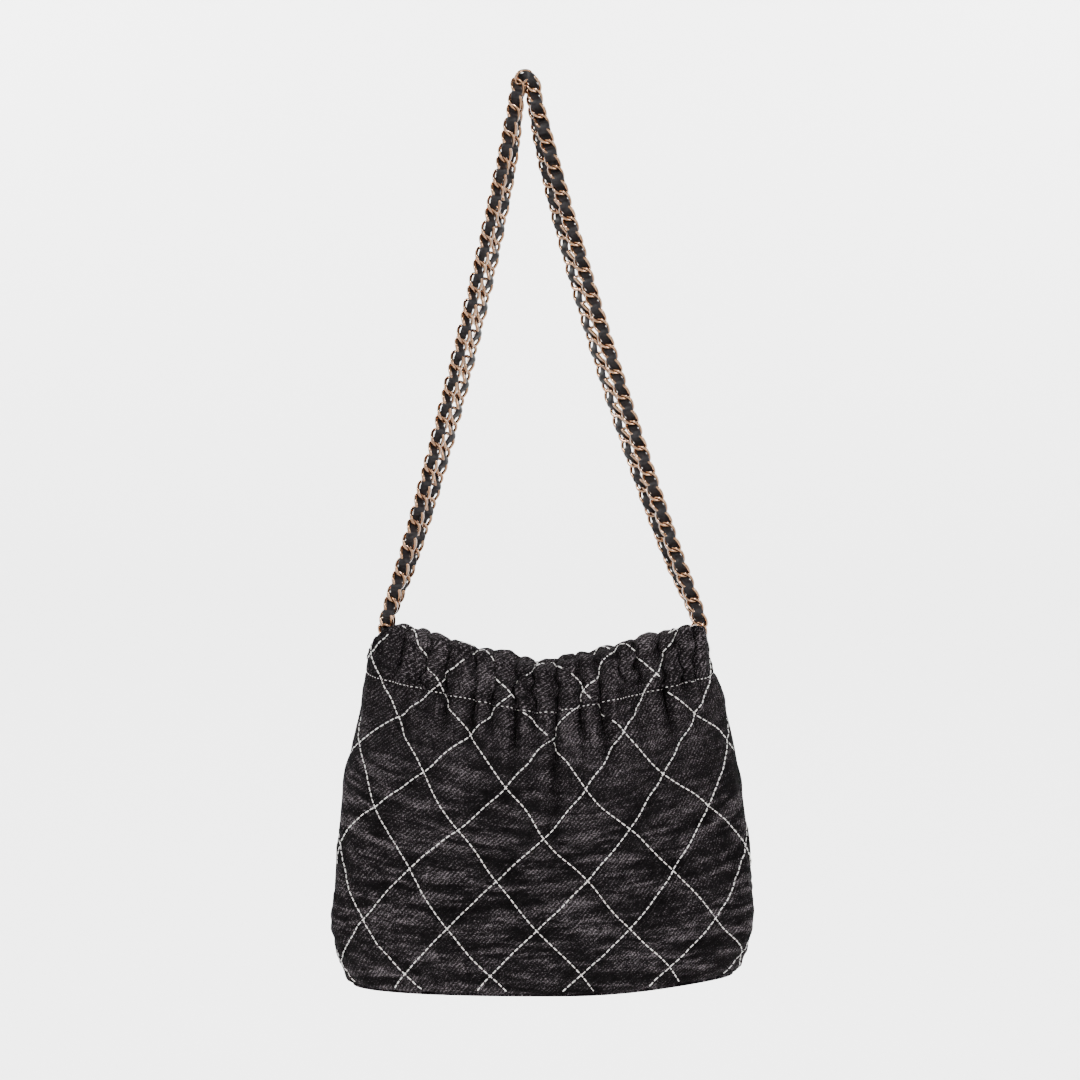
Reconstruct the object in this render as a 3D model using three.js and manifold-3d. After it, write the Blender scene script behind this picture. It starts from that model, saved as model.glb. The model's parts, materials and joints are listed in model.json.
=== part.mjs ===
// Gathered bucket bag of quilted denim with two woven chain straps, hung by its straps.
// Millimetres, +Z up, front towards -Y. The bag is drawn standing on z = 0 and then lowered,
// so that the origin is the point of a hook where the straps hang on it.
import * as THREE from "three";
import { mergeVertices } from "three/addons/utils/BufferGeometryUtils.js";
import Module from "manifold-3d";

const wasm = await Module();
wasm.setup();

// ---- Driving dimensions ----
const GAP = 0.3; // clearance between touching layers
const HOOK_HEIGHT = 553; // height of the hook's top above the bag's base

// Body: [height, half width, half depth, squareness of the plan outline]
const STATIONS = [
  [0, 122, 50, 2.3],
  [20, 129, 52, 2.3],
  [46, 130.5, 52, 2.3],
  [94, 127.5, 47, 2.3],
  [145, 120, 37, 2.5],
  [172, 114, 30, 3],
  [203, 106, 26, 4],
  [221, 101, 26, 4],
];
const CREST_MIDDLE = 199.5; // height of the gathered rim at the middle of the mouth
const CREST_RISE = 33; // how steeply the rim climbs to its ears
const CREST_SOFTNESS = 0.06;
const EAR = 0.72; // where across a panel its rim is highest, 1 being the side seam
const SIDE_TOP = 203; // height of the side seam's upper end
const SEAM = 0.85; // height of the casing's stitch line, as a share of the rim's height

// Lattice that all fabric layers are built on, so that they stay parallel
const COLUMNS = 20;
const SEAM_ROW = 8; // rows from the base to the stitch line
const CASING_ROWS = 6; // rows in the casing, closer together towards the rim
const ROWS = SEAM_ROW + CASING_ROWS;

// Fabric layers, as depths below the outer face
const PANEL_THICKNESS = 1.5;
const WADDING = [2.2, 4.0];
const LINING = [5.5, 6.2];
const SEAM_GAP = 0.2; // from a panel's edge to the bag's middle plane
const CASING_THICKNESS = 13;
const CASING_ROLL = CASING_THICKNESS / 2; // radius of the rolled rim
const CASING_PINCH = 8.1; // the casing's thickness at the stitch line
const PINCH_HEIGHT = 12; // how far above the stitch line the casing is full
const ROLL_FADE = { before: 0.06, width: 0.12 }; // where the roll dies away at an ear
const FACING_COLUMNS = [4, 16]; // the inner wall stops where the chains come out

// Base, as heights
const BASE_INSET = 2.2;
const BASE_PANEL = [0, 1.5];
const BASE_BOARD = [1.8, 3.8];
const BASE_LINING = [4.1, 4.8];

// Chain and the leather lace woven through it
const CHAIN_WIDTH = 9;
const CHAIN_THICKNESS = 5.2;
const CHAIN_WALL = 0.5; // gives the sleeve about the weight of the links
const WIRE = 1.9;
const LINK_PITCH = 8.3;
const LACE_WIDTH = 6.2;
const LACE_THICKNESS = 2.4;
const LINK_ROOM = 2.8; // from a pivot to the end of the chain that turns on it
const CASING_CHAIN_DEPTH = 7.75;
const CASING_CHAIN_DROP = 10;
// Where a casing's chain dives below its exit: outwards, deeper and down from the low pivot
const WAY_IN = [
  { out: 0.2, deeper: 0, down: LINK_ROOM },
  { out: -1.8, deeper: 0, down: 7 },
  { out: -6.5, deeper: 0.8, down: 11.5 },
];

// Where each strap leaves its casing: the exit link turns on EXIT_LOW and the strap on EXIT_HIGH
const EXIT_DEPTH = 11;
const EXIT_LOW = { x: 98, z: 222.5 };
const EXIT_HIGH = { x: 96, z: 222.5 + Math.sqrt(LINK_PITCH ** 2 - 2 ** 2) };
const APEX_X = -11; // the hook is a little to one side
const APEX_DEPTH = 3.4;
const APEX_RADIUS = 6.5;
const FRONT_STRAP = { side: -1, apexZ: 562.5, sag: 4 };
const BACK_STRAP = { side: 1, apexZ: 557.5, sag: 12 };

// Magnetic snap
const SNAP_LEVEL = 0.74; // height on the panel, as a share of the rim's height
const SNAP_RADIUS = 7;
const SNAP_PATCH = 22;

// Inner pocket with its zip. Its back lies on the back lining, and its front leans back below the zip.
const POCKET = { width: 140, bottom: 30, top: 118, front: 28, wall: 0.8, lean: 4, leanFrom: 90 };
const ZIP = { z: 106, length: 114, teethHeight: 1.8, rowGap: 1.2, tapeHeight: 8 };
const BINDING = { above: 11, below: 14, inset: 3, window: 4.5 };
const SLIDER_X = 52; // the closed end
const PULL_AXIS = -6.8; // depth of the bar that the pull turns on, from the zip's plane

// ---- Materials ----
const surface = (color, roughness, metalness = 0) =>
  new THREE.MeshStandardMaterial({ color, roughness, metalness });
const DENIM = surface(0x2e2b2d, 0.95);
const WADDING_WHITE = surface(0xd9d7d0, 1);
const LINING_BLACK = surface(0x1b1a1c, 0.8);
const BOARD = surface(0x3a3a3c, 0.6);
const GOLD = surface(0xd9ac7c, 0.25, 1);
const LEATHER = surface(0x2a2728, 0.45);
const STEEL = surface(0xb9b9bb, 0.3, 1);

// ---- Small helpers ----
const v2 = (x, y) => new THREE.Vector2(x, y);
const v3 = (x, y, z) => new THREE.Vector3(x, y, z);
const lerp = THREE.MathUtils.lerp;
const smooth = (t) => THREE.MathUtils.smoothstep(t, 0, 1);

function mesh(name, geometry, material, parent) {
  const made = new THREE.Mesh(geometry, material);
  made.name = name;
  parent.add(made);
  return made;
}

function block(x, y, z) {
  const [w, d, h] = [x[1] - x[0], y[1] - y[0], z[1] - z[0]];
  const made = new THREE.BoxGeometry(w, d, h);
  return made.translate(x[0] + w / 2, y[0] + d / 2, z[0] + h / 2);
}

function solid(geometry) {
  const bare = geometry.clone();
  bare.deleteAttribute("normal");
  bare.deleteAttribute("uv");
  const merged = mergeVertices(bare, 1e-4);
  const vertProperties = merged.attributes.position.array;
  const triVerts = new Uint32Array(merged.index.array);
  return new wasm.Manifold(new wasm.Mesh({ numProp: 3, vertProperties, triVerts }));
}

function geometryOf(manifold) {
  const got = manifold.getMesh();
  const made = new THREE.BufferGeometry();
  made.setAttribute("position", new THREE.BufferAttribute(got.vertProperties, got.numProp));
  made.setIndex(new THREE.BufferAttribute(got.triVerts, 1));
  made.computeVertexNormals();
  return made;
}

const joined = (...geometries) =>
  geometryOf(geometries.map(solid).reduce((all, next) => all.add(next)));
const cut = (geometry, ...tools) =>
  geometryOf(tools.map(solid).reduce((left, tool) => left.subtract(tool), solid(geometry)));

// ---- The bag's outer surface ----
// A smooth curve through the stations, read at one height.
function station(z, column) {
  const last = STATIONS.length - 1;
  let i = STATIONS.findIndex((s) => s[0] > z) - 1;
  if (i < 0) i = z < STATIONS[0][0] ? 0 : last - 1;
  const [a, b] = [STATIONS[i], STATIONS[i + 1]];
  const before = STATIONS[Math.max(0, i - 1)];
  const after = STATIONS[Math.min(last, i + 2)];
  const step = b[0] - a[0];
  const slopeA = (b[column] - before[column]) / (b[0] - before[0]);
  const slopeB = (after[column] - a[column]) / (after[0] - a[0]);
  const t = THREE.MathUtils.clamp((z - a[0]) / step, 0, 1);
  const start = (1 + 2 * t) * (1 - t) ** 2 * a[column] + t * (1 - t) ** 2 * step * slopeA;
  const end = t * t * (3 - 2 * t) * b[column] + t * t * (t - 1) * step * slopeB;
  return start + end;
}

// Height of the rim across a panel: lowest at the middle, highest at the ears.
function crest(u) {
  const away = Math.abs(u);
  const climb = (t) => CREST_RISE * (Math.hypot(t, CREST_SOFTNESS) - CREST_SOFTNESS);
  if (away <= EAR) return CREST_MIDDLE + climb(away);
  return lerp(CREST_MIDDLE + climb(EAR), SIDE_TOP, smooth((away - EAR) / (1 - EAR)));
}

// A point of the front outer face: u runs from the left seam to the right, v from base to rim.
function wall(u, v) {
  const z = v * crest(u);
  const across = Math.sin((u * Math.PI) / 2);
  const squareness = station(z, 3);
  const depth = (1 - Math.abs(across) ** squareness) ** (1 / squareness);
  return v3(station(z, 1) * across, -station(z, 2) * depth - SEAM_GAP, z);
}

// How far the rim rolls inwards, which it doesn't do past the ears where the casing ends.
function roll(u, below) {
  const open = 1 - smooth((Math.abs(u) - EAR + ROLL_FADE.before) / ROLL_FADE.width);
  const rise = Math.max(0, CASING_ROLL - below);
  return open * (CASING_ROLL - Math.sqrt(CASING_ROLL ** 2 - rise ** 2));
}

function normalAt(point, u, v) {
  const d = 1e-3;
  const [u0, u1] = [Math.max(-1, u - d), Math.min(1, u + d)];
  const [w0, w1] = [Math.max(0, v - d), Math.min(1, v + d)];
  const acrossIt = point(u1, v).sub(point(u0, v));
  const upIt = point(u, w1).sub(point(u, w0));
  return acrossIt.cross(upIt).normalize();
}

const inside = (u, v, depth) => wall(u, v).addScaledVector(normalAt(wall, u, v), -depth);

// The outer panel's face, with its rim rolled inwards to the middle of the casing.
function rolledWall(u, v) {
  const below = (1 - v) * crest(u);
  return inside(u, v, roll(u, below));
}

// The casing's inner wall, seen from the mouth: pinched at the stitch line, rolled at the rim.
function facingWall(u, v) {
  const below = (1 - v) * crest(u);
  const above = (v - SEAM) * crest(u);
  const pinched = lerp(CASING_PINCH, CASING_THICKNESS, smooth(above / PINCH_HEIGHT));
  const rise = Math.max(0, CASING_ROLL - GAP - below);
  const rolled = CASING_ROLL - Math.sqrt(CASING_ROLL ** 2 - rise ** 2);
  return inside(u, v, pinched - rolled);
}

// Height of a lattice row, as a share of the rim's height.
function rowHeight(row) {
  if (row <= SEAM_ROW) return (SEAM * row) / SEAM_ROW;
  const left = (ROWS - row) / CASING_ROWS;
  return 1 - (1 - SEAM) * left ** 1.4;
}

// A fabric layer between two depths of a face, as a bent slab over whole cells of the lattice,
// counted from the left side seam and from the base. side is -1 at the front and 1 at the back.
function layer({ side, face = wall, columns, rows, depths }) {
  const [wide, high] = [columns[1] - columns[0], rows[1] - rows[0]];
  const made = new THREE.BoxGeometry(wide, high, 1, wide, high, 1);
  made.translate(columns[0] + wide / 2, rows[0] + high / 2, 0.5);
  const position = made.attributes.position;
  for (let i = 0; i < position.count; i++) {
    const u = (1 - (2 * position.getX(i)) / COLUMNS) * side;
    const v = rowHeight(Math.round(position.getY(i)));
    const depth = lerp(depths[1], depths[0], position.getZ(i));
    const point = face(u, v).addScaledVector(normalAt(face, u, v), -depth);
    position.setXYZ(i, point.x, point.y * -side, point.z);
  }
  return made;
}

// A flat plate in the base's outline, inset from the outer face.
function baseSheet(inset, heights) {
  const steps = 48;
  const outline = [];
  for (let i = 0; i < steps; i++) {
    const angle = (i / steps) * 2 * Math.PI;
    const [c, s] = [Math.cos(angle), Math.sin(angle)];
    const power = 2 / STATIONS[0][3];
    const x = Math.sign(c) * Math.abs(c) ** power * (STATIONS[0][1] - inset);
    const y = Math.sign(s) * Math.abs(s) ** power * (STATIONS[0][2] - inset);
    outline.push(v2(x, y));
  }
  const depth = heights[1] - heights[0];
  const made = new THREE.ExtrudeGeometry(new THREE.Shape(outline), { depth, bevelEnabled: false });
  return made.translate(0, 0, heights[0]);
}

// ---- Chains ----
function rectangle(width, height) {
  const [w, h] = [width / 2, height / 2];
  return [v2(-w, -h), v2(w, -h), v2(w, h), v2(-w, h)];
}

// The chain's outer shape as a flat sleeve, with the lace's room inside.
function chainSection() {
  const made = new THREE.Shape(rectangle(CHAIN_THICKNESS, CHAIN_WIDTH));
  const [w, h] = [CHAIN_THICKNESS - 2 * CHAIN_WALL, CHAIN_WIDTH - 2 * CHAIN_WALL];
  made.holes.push(new THREE.Path(rectangle(w, h).reverse()));
  return made;
}

const laceSection = () => new THREE.Shape(rectangle(LACE_THICKNESS, LACE_WIDTH));

function swept(section, path, steps) {
  return new THREE.ExtrudeGeometry(section, { steps, extrudePath: path, bevelEnabled: false });
}

// One leg of a strap from its exit to the hook, hanging a little inwards of the straight line.
function leg({ side, apexZ, sag }, hand, points) {
  const low = v3(hand * EXIT_HIGH.x, side * EXIT_DEPTH, EXIT_HIGH.z);
  const high = v3(APEX_X + hand * APEX_RADIUS, side * APEX_DEPTH, apexZ - APEX_RADIUS - 2);
  const along = high.clone().sub(low);
  const inwards = v3(-hand * along.z, 0, hand * along.x).normalize();
  const first = LINK_ROOM / along.length();
  const found = [];
  for (let i = 0; i < points; i++) {
    const t = lerp(first, 1, i / (points - 1));
    const at = low.clone().addScaledVector(along, t);
    found.push(at.addScaledVector(inwards, sag * 4 * t * (1 - t)));
  }
  return found;
}

function strapPath(strap) {
  const left = leg(strap, -1, 9);
  const right = leg(strap, 1, 9).reverse();
  const top = [];
  for (const degrees of [150, 90, 30]) {
    const angle = THREE.MathUtils.degToRad(degrees);
    const x = APEX_X + APEX_RADIUS * Math.cos(angle);
    const z = strap.apexZ - APEX_RADIUS + APEX_RADIUS * Math.sin(angle);
    top.push(v3(x, strap.side * APEX_DEPTH, z));
  }
  return new THREE.CatmullRomCurve3([...left, ...top, ...right], false, "centripetal");
}

// The part of the chain that runs through the casing, from one exit to the other.
function casingPath(side) {
  const exit = (hand) =>
    WAY_IN.map(({ out, deeper, down }) =>
      v3(hand * (EXIT_LOW.x + out), side * (EXIT_DEPTH + deeper), EXIT_LOW.z - down),
    );
  const gathered = [];
  for (let step = -4; step <= 4; step++) {
    const u = 0.15 * step;
    const point = inside(u, 1 - CASING_CHAIN_DROP / crest(u), CASING_CHAIN_DEPTH);
    gathered.push(v3(point.x, -side * point.y, point.z));
  }
  const path = [...exit(-1), ...gathered, ...exit(1).reverse()];
  return new THREE.CatmullRomCurve3(path, false, "centripetal");
}

// An oval link lying in XZ: a torus whose halves are drawn apart.
function link() {
  const tubeSides = 8;
  const ringSteps = 16;
  const ring = (CHAIN_WIDTH - WIRE) / 2;
  const stretch = (LINK_PITCH + 2 * WIRE - CHAIN_WIDTH) / 2;
  const made = new THREE.TorusGeometry(ring, WIRE / 2, tubeSides, ringSteps);
  made.rotateZ(Math.PI / ringSteps).rotateX(Math.PI / 2);
  const position = made.attributes.position;
  for (let i = 0; i < position.count; i++) {
    const z = position.getZ(i);
    position.setZ(i, z + Math.sign(z) * stretch);
  }
  return made;
}

function exitLink(name, side, hand, parent) {
  const made = mesh(name, link(), GOLD, parent);
  const x = (hand * (EXIT_LOW.x + EXIT_HIGH.x)) / 2;
  made.position.set(x, side * EXIT_DEPTH, (EXIT_LOW.z + EXIT_HIGH.z) / 2);
  made.rotation.y = hand * Math.atan2(EXIT_HIGH.x - EXIT_LOW.x, EXIT_HIGH.z - EXIT_LOW.z);
}

// ---- Sub-assemblies ----
function shell(parent) {
  const columns = [0, COLUMNS];
  for (const [name, side] of [["front", -1], ["back", 1]]) {
    const sheets = {
      panel: [DENIM, { face: rolledWall, columns, rows: [0, ROWS], depths: [0, PANEL_THICKNESS] }],
      casing_facing: [
        DENIM,
        {
          face: facingWall,
          columns: FACING_COLUMNS,
          rows: [SEAM_ROW, ROWS],
          depths: [-PANEL_THICKNESS, 0],
        },
      ],
      wadding: [WADDING_WHITE, { columns: [1, 19], rows: [1, ROWS - 3], depths: WADDING }],
      lining: [LINING_BLACK, { columns, rows: [1, SEAM_ROW], depths: LINING }],
    };
    for (const [part, [material, made]] of Object.entries(sheets)) {
      mesh(`${name}_${part}`, layer({ side, ...made }), material, parent);
    }
  }
  mesh("base_panel", baseSheet(BASE_INSET, BASE_PANEL), DENIM, parent);
  mesh("base_board", baseSheet(BASE_INSET + 1, BASE_BOARD), BOARD, parent);
  mesh("base_lining", baseSheet(BASE_INSET + 1, BASE_LINING), LINING_BLACK, parent);
}

function chains(parent) {
  for (const [name, strap] of [["front", FRONT_STRAP], ["back", BACK_STRAP]]) {
    const inCasing = casingPath(strap.side);
    mesh(`${name}_casing_chain`, swept(chainSection(), inCasing, 30), GOLD, parent);
    mesh(`${name}_casing_lace`, swept(laceSection(), inCasing, 30), LEATHER, parent);
    exitLink(`${name}_left_exit_link`, strap.side, -1, parent);
    exitLink(`${name}_right_exit_link`, strap.side, 1, parent);
    const path = strapPath(strap);
    mesh(`${name}_strap_chain`, swept(chainSection(), path, 70), GOLD, parent);
    mesh(`${name}_strap_lace`, swept(laceSection(), path, 70), LEATHER, parent);
  }
}

// A group standing on a panel's inside, with its +Z pointing into the bag.
function onPanel(side, v, parent) {
  const place = new THREE.Group();
  const point = wall(0, v);
  const normal = normalAt(wall, 0, v);
  place.position.set(point.x, -side * point.y, point.z);
  const inwards = v3(-normal.x, side * normal.y, -normal.z);
  place.quaternion.setFromUnitVectors(v3(0, 0, 1), inwards);
  parent.add(place);
  return place;
}

function disc(radius, depths) {
  const made = new THREE.CylinderGeometry(radius, radius, depths[1] - depths[0], 24);
  return made.rotateX(Math.PI / 2).translate(0, 0, (depths[0] + depths[1]) / 2);
}

function snap(parent) {
  const half = SNAP_PATCH / 2;
  const patch = [LINING[1] + GAP + 0.1, LINING[1] + GAP + 1.1];
  const cap = [patch[1] + GAP, patch[1] + GAP + 3];
  const washer = [WADDING[1] + 0.35, WADDING[1] + 1.15];
  for (const [name, side] of [["socket", -1], ["stud", 1]]) {
    const place = onPanel(side, SNAP_LEVEL, parent);
    mesh(`snap_${name}_patch`, block([-half, half], [-half, half], patch), LEATHER, place);
    mesh(`snap_${name}_washer`, disc(SNAP_RADIUS, washer), STEEL, place);
    if (side < 0) {
      const hollow = disc(SNAP_RADIUS * 0.5, [cap[1] - 2, cap[1] + 1]);
      mesh("snap_socket", cut(disc(SNAP_RADIUS, cap), hollow), GOLD, place);
    } else {
      const plate = disc(SNAP_RADIUS, [cap[0], cap[0] + 1.4]);
      const stud = disc(SNAP_RADIUS * 0.45, [cap[0] + 1, cap[1] + 0.2]);
      mesh("snap_stud", joined(plate, stud), GOLD, place);
    }
  }
}

// The pocket's filled outline, smaller on all sides by an inset, and trimmed by the back lining.
function pouchCore(inset) {
  const { width, bottom, top, front, lean, leanFrom } = POCKET;
  const back = STATIONS[2][2]; // past the lining, which trims it
  const profile = new THREE.Shape([
    v2(front + inset, leanFrom),
    v2(front + lean + inset, bottom + inset),
    v2(back, bottom + inset),
    v2(back, top - inset),
    v2(front + inset, top - inset),
  ]);
  const depth = width - 2 * inset;
  const core = new THREE.ExtrudeGeometry(profile, { depth, bevelEnabled: false });
  core.translate(0, 0, -depth / 2);
  core.applyMatrix4(new THREE.Matrix4().makeBasis(v3(0, 1, 0), v3(0, 0, 1), v3(1, 0, 0)));
  const depths = [-back, LINING[1] + GAP + inset];
  const behind = layer({ side: 1, columns: FACING_COLUMNS, rows: [0, SEAM_ROW], depths });
  return cut(core, behind);
}

function pocket(parent) {
  const { width, front, wall: cloth } = POCKET;
  const half = width / 2 - BINDING.inset;
  const zipHalf = ZIP.length / 2;
  const slotHalf = ZIP.tapeHeight / 2;
  const slotHeights = [ZIP.z - slotHalf, ZIP.z + slotHalf];
  const slot = block([-zipHalf - 2, zipHalf + 2], [front - 1, front + 1.2], slotHeights);
  mesh("pocket_bag", cut(pouchCore(0), pouchCore(cloth), slot), LINING_BLACK, parent);

  const frameHeights = [ZIP.z - BINDING.below, ZIP.z + BINDING.above];
  const frame = block([-half, half], [front - 2, front - 1.3], frameHeights);
  const windowHeights = [ZIP.z - BINDING.window, ZIP.z + BINDING.window];
  const opening = block([-zipHalf - 4, zipHalf + 4], [front - 3, front], windowHeights);
  mesh("pocket_binding", cut(frame, opening), LEATHER, parent);

  const tapeY = [front - 1, front - GAP];
  const teethY = [front - 3, front - 1.3];
  const near = ZIP.rowGap / 2;
  for (const [name, hand] of [["upper", 1], ["lower", -1]]) {
    const heights = (a, b) => [ZIP.z + hand * a, ZIP.z + hand * b].sort((p, q) => p - q);
    const tape = block([-zipHalf - 4, zipHalf + 4], tapeY, heights(near + 0.3, ZIP.tapeHeight));
    mesh(`zip_tape_${name}`, tape, LINING_BLACK, parent);
    const teeth = block([-zipHalf, zipHalf], teethY, heights(near, near + ZIP.teethHeight));
    mesh(`zip_teeth_${name}`, teeth, GOLD, parent);
  }
  for (const [name, hand] of [["left", -1], ["right", 1]]) {
    const ends = [hand * (zipHalf + 0.4), hand * (zipHalf + 2.4)].sort((p, q) => p - q);
    mesh(`zip_stop_${name}`, block(ends, teethY, [ZIP.z - 2.4, ZIP.z + 2.4]), GOLD, parent);
  }
}

function zipSlider(parent) {
  const place = new THREE.Group();
  place.position.set(SLIDER_X, POCKET.front, ZIP.z);
  parent.add(place);
  const plate = block([-4.2, 4.2], [-4.6, -3.3], [-3.6, 3.6]);
  const post = block([-1.6, 1.6], [-3.6, 0.6], [-0.25, 0.25]);
  const rear = block([-4, 4], [0.15, 0.9], [-3, 3]);
  const bar = new THREE.CylinderGeometry(0.6, 0.6, 7, 12).rotateZ(Math.PI / 2);
  bar.translate(0, PULL_AXIS, 0);
  const ears = [-1, 1].map((hand) =>
    block([hand * 3.2 - 0.5, hand * 3.2 + 0.5], [PULL_AXIS - 0.6, -4.4], [-0.8, 0.8]),
  );
  mesh("zip_slider", joined(plate, post, rear, bar, ...ears), GOLD, place);

  const eye = new THREE.CylinderGeometry(1.9, 1.9, 3.6, 16).rotateZ(Math.PI / 2);
  const bore = new THREE.CylinderGeometry(0.95, 0.95, 8, 16).rotateZ(Math.PI / 2);
  const shank = block([-1.8, 1.8], [-0.7, 0.7], [-13, -1.2]);
  const pull = cut(joined(eye, shank), bore);
  mesh("zip_pull", pull.translate(0, PULL_AXIS, 0), GOLD, place);
  const tab = block([-3, 3], [PULL_AXIS - 1, PULL_AXIS + 1], [-34, -13.3]);
  mesh("zip_pull_tab", tab, LEATHER, place);
}

const bag = new THREE.Group();
bag.position.set(-APEX_X, 0, -HOOK_HEIGHT);
shell(bag);
chains(bag);
snap(bag);
pocket(bag);
zipSlider(bag);

const part = new THREE.Group();
part.add(bag);
export default part;
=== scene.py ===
"""The looks of a gathered bucket bag: quilted washed denim, woven chain straps, ruffled mouth.

Shapes are worked out in millimetres in the bag's own frame (middle at x = 0, base at z = 0,
front towards -Y) and placed in the CAD frame, in metres, when a mesh is made.
"""
import json
import math

import bmesh
import bpy
import numpy as np
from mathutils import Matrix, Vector


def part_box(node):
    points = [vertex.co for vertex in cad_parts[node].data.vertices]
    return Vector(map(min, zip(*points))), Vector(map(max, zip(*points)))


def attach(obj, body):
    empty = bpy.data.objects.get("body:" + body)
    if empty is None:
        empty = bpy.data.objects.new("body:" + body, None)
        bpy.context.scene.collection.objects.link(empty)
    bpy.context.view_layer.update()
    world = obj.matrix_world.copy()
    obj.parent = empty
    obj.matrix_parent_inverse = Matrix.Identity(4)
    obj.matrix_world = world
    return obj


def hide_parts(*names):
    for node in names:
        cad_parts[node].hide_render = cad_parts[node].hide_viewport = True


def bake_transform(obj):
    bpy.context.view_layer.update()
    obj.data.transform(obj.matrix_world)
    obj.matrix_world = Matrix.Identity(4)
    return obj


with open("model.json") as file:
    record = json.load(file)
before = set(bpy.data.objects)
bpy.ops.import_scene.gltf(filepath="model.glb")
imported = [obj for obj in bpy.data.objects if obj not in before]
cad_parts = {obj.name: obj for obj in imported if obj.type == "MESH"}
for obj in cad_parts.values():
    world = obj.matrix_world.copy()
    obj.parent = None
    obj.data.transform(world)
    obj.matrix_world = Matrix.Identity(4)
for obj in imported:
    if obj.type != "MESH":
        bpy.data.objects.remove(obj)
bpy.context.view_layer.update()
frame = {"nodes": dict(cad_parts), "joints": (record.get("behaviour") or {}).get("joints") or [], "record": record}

MM = 0.001
BASE_LOW, BASE_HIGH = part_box("base_panel")
MIDDLE_X = (BASE_LOW[0] + BASE_HIGH[0]) / 2
FLOOR_Z = BASE_LOW[2]
ORIGIN = np.array([MIDDLE_X, 0.0, FLOOR_Z])
UP = np.array([0.0, 0.0, 1.0])
HALF_TURN = np.array([-1.0, -1.0, 1.0])  # turns a front shape about the vertical to the back


def add_object(name, data, material=None):
    made = bpy.data.objects.new(name, data)
    bpy.context.scene.collection.objects.link(made)
    if material:
        data.materials.append(material)
    return made


# ---- Camera ----
def make_camera():
    distance, aside, height = 1.5, -0.0019, 0.2755  # from the bag's middle and base, in metres
    frame_width = 0.675  # what the picture spans at the bag's middle plane
    data = bpy.data.cameras.new("camera")
    data.sensor_width = 36.0
    data.lens = data.sensor_width * distance / frame_width
    camera = add_object("camera", data)
    camera.location = (MIDDLE_X + aside, -distance, FLOOR_Z + height)
    camera.rotation_euler = (math.radians(90), 0, 0)
    bpy.context.scene.camera = camera


make_camera()


# ---- The bag's plan and cloth, in millimetres ----
# Height, half width, half depth and squareness of the plan outline
STATIONS = np.array([
    [0, 122, 50, 2.3],
    [20, 129, 52, 2.3],
    [46, 130.5, 52, 2.3],
    [94, 127.5, 47, 2.3],
    [145, 120, 37, 2.5],
    [172, 114, 30, 3],
    [205, 109, 26, 4],
    [226, 103, 25, 4],
])
HALF_CLOTH = 155.0  # half the width that each panel was cut to
CLOTH_THICKNESS = 1.3
CREST_MIDDLE = 199.5
CREST_RISE = 31.0
CREST_SOFTNESS = 0.06
EAR = 0.80  # where across a panel the rim stops climbing
SIDE_TOP = 208.0
SIDE_CASING = 14.0  # from stitch line to rim at the side seams
SEAM_SHARE = 0.852  # the stitch line's height as a share of the rim's
QUILT = 56.0  # the quilting's diamonds, corner to corner
QUILT_START = 40.0  # height of a crossing on the middle line
QUILT_SKEW = 0.05
QUILT_LEVEL = 95.0  # height at which the skewed quilting is in place
QUILT_PUFF, QUILT_GROOVE, QUILT_PUCKER = 1.5, 0.45, 0.2
PUCKER_PITCH = 9.0
CASING_RADIUS = 6.3
RIM_RADIUS = 1.2  # of the turned rim at the ears, where the casing is shut
CASING_SHUTS, SHUT_WIDTH = 0.64, 0.14  # where across a panel the casing starts to shut, and how fast
HEM = 6.0
HEM_CURVE, HEM_TUCK = 5.0, 3.6  # how the panel turns under at the base: its height and its depth
LOBE_DEPTH, LOBE_REACH, USUAL_LOBE = 2.2, 12.0, 17.0

PITCH = 8.3
WIRE = 2.1
LINK_WIDTH = 9.8
LINK_SLANT = 0.42  # how far each link leans, so that its ends cross the chain aslant
LINK_TWIST = -1.7
LINK_ROCK = math.radians(11)  # how far the links turn about the chain, one to each side
LACE_WIDTH = 6.8
LACE_THICKNESS = 2.6
LACE_SWING = 2.3  # how far the lace stands off the chain's middle where it passes a junction


def smooth(x):
    x = np.clip(x, 0, 1)
    return x * x * (3 - 2 * x)


def mix(a, b, k):
    return a + (b - a) * k


def bell(x):
    return np.exp(-x * x)


def signed_power(x, power):
    return np.sign(x) * np.abs(x) ** power


def running(steps):
    """The running total of the steps, from 0."""
    return np.concatenate([[0], np.cumsum(steps)])


def full_circle(count):
    return np.linspace(0, 2 * math.pi, count, endpoint=False)


def unit(v):
    return v / np.maximum(np.linalg.norm(v, axis=-1, keepdims=True), 1e-9)


def smooth_curve(knots, values, places):
    """Values at the places, on a smooth curve through the values at the knots."""
    slopes = np.gradient(values, knots, axis=0)
    i = np.clip(np.searchsorted(knots, places, side="right") - 1, 0, len(knots) - 2)
    step = (knots[i + 1] - knots[i])[..., None]
    k = (places - knots[i])[..., None] / step
    start = (1 + 2 * k) * (1 - k) ** 2 * values[i] + k * (1 - k) ** 2 * step * slopes[i]
    end = k * k * (3 - 2 * k) * values[i + 1] + k * k * (k - 1) * step * slopes[i + 1]
    return start + end


def station(z):
    """Half width, half depth and squareness at heights z."""
    levels = STATIONS[:, 0]
    return smooth_curve(levels, STATIONS[:, 1:], np.clip(z, levels[0], levels[-1]))


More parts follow.
